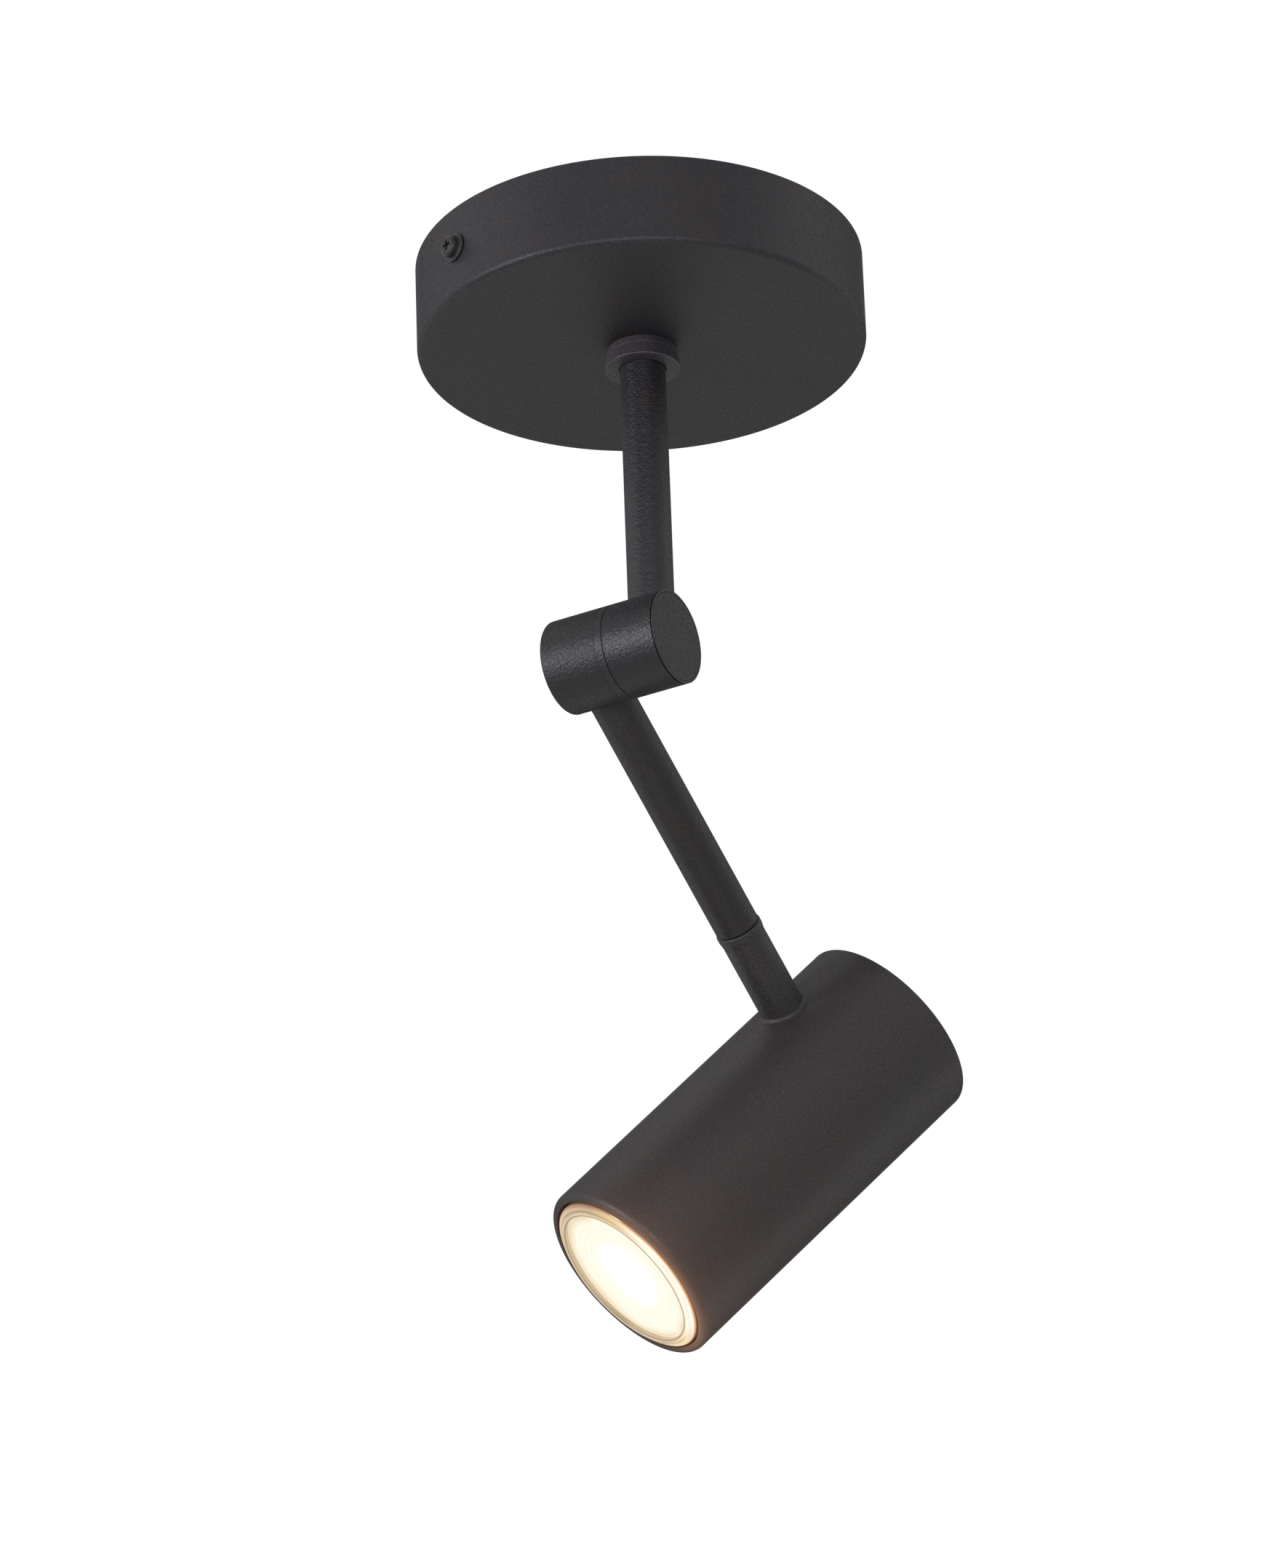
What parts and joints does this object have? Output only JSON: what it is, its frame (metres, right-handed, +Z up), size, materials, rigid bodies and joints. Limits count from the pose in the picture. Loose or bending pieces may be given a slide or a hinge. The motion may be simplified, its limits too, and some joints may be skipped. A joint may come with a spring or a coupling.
{
  "type": "ceiling spot light",
  "caption": "Black ceiling spot light with a round cup, stem, tilting barrel knuckle, arm and a swivelling cylindrical head that holds a push-and-twist reflector lamp.",
  "frame": {"origin": "centre of the ceiling cup's rim, on the ceiling", "axes": "+Z up into the ceiling, along the stem; X runs through the two screws in the cup's side"},
  "size_m": [0.2009, 0.1725, 0.2704],
  "materials": {
    "black_coat": "fine-textured matt powder coat",
    "black_screw": "black phosphate, low sheen",
    "zinc_steel": "zinc plated",
    "bare_brass": "turned",
    "nickel_pin": "nickel plated",
    "white_nylon": "moulded nylon",
    "cream_ceramic": "unglazed steatite",
    "white_sheath": "silicone sheath",
    "brown_core": "core insulation",
    "blue_core": "core insulation",
    "earth_core_stripe": "green core with a yellow stripe",
    "lamp_white": "moulded",
    "lamp_clear": "clear pressed glass",
    "lamp_front": "ribbed clear lens, lit from behind",
    "light_board": "white solder mask",
    "driver_board": "glass-fibre board"
  },
  "bodies": {
    "ceiling_mount": {"ceiling_cup": "black_coat", "mounting_bracket": "zinc_steel", "cup_screws": "black_screw", "terminal_block": "white_nylon", "terminal_sleeves": "bare_brass", "terminal_screws": "zinc_steel", "block_screw": "zinc_steel", "earth_washer": "zinc_steel", "earth_screw": "bare_brass", "collar_ring": "black_coat", "stem_collar": "black_coat", "collar_nut": "zinc_steel", "swivel_stop_pin": "zinc_steel", "live_core": "brown_core", "earth_core": "earth_core_stripe", "neutral_core": "blue_core"},
    "stem": {"stem_tube": "black_coat", "stem_spindle": "zinc_steel", "thrust_washer": "white_nylon", "stop_washer": "zinc_steel", "stem_spring_washer": "zinc_steel", "stem_nut": "zinc_steel", "knuckle_upper": "black_coat", "upper_end_cap": "black_coat", "stem_lead": "white_sheath"},
    "arm": {"knuckle_lower": "black_coat", "lower_end_cap": "black_coat", "friction_ring": "black_coat", "knuckle_spindle": "zinc_steel", "knuckle_spring_washer": "zinc_steel", "knuckle_nut": "zinc_steel", "knuckle_stop_pin": "zinc_steel", "arm_tube": "black_coat", "arm_end_bush": "bare_brass", "arm_lead": "white_sheath"},
    "head": {"neck_tube": "black_coat", "neck_plug": "bare_brass", "swivel_bolt": "zinc_steel", "swivel_washer": "zinc_steel", "neck_nipple": "zinc_steel", "neck_nut": "zinc_steel", "head_shell": "black_coat", "holder_bracket": "zinc_steel", "lamp_holder": "cream_ceramic", "holder_contacts": "bare_brass", "holder_screws": "zinc_steel", "head_lead": "white_sheath", "lamp_live_core": "brown_core", "lamp_neutral_core": "blue_core"},
    "lamp": {"lamp_base": "lamp_white", "lamp_pins": "nickel_pin", "lamp_glass": "lamp_clear", "lamp_lens": "lamp_front", "led_board": "light_board", "led_driver": "driver_board"}
  },
  "joints": [
    {"name": "stem_swivel", "type": "hinge", "parent": "ceiling_mount", "child": "stem", "pos_m": [0, 0, -0.0315], "axis": [0, 0, 1], "range_deg": [-98.4, 231.6]},
    {"name": "knuckle_tilt", "type": "hinge", "parent": "stem", "child": "arm", "pos_m": [0, 0, -0.11215], "axis": [0.3971, -0.9178, 0], "range_deg": [-145.3, 34.7]},
    {"name": "head_swivel", "type": "hinge", "parent": "arm", "child": "head", "pos_m": [0.05904, 0.04636, -0.16242], "axis": [0.7545, 0.3265, -0.5693], "range_deg": [-190.4, 129.6]},
    {"name": "lamp_twist", "type": "hinge", "parent": "head", "child": "lamp", "pos_m": [0.07803, 0.07388, -0.21877], "axis": [-0.6516, 0.2694, -0.7091], "range_deg": [0, 22]}
  ]
}
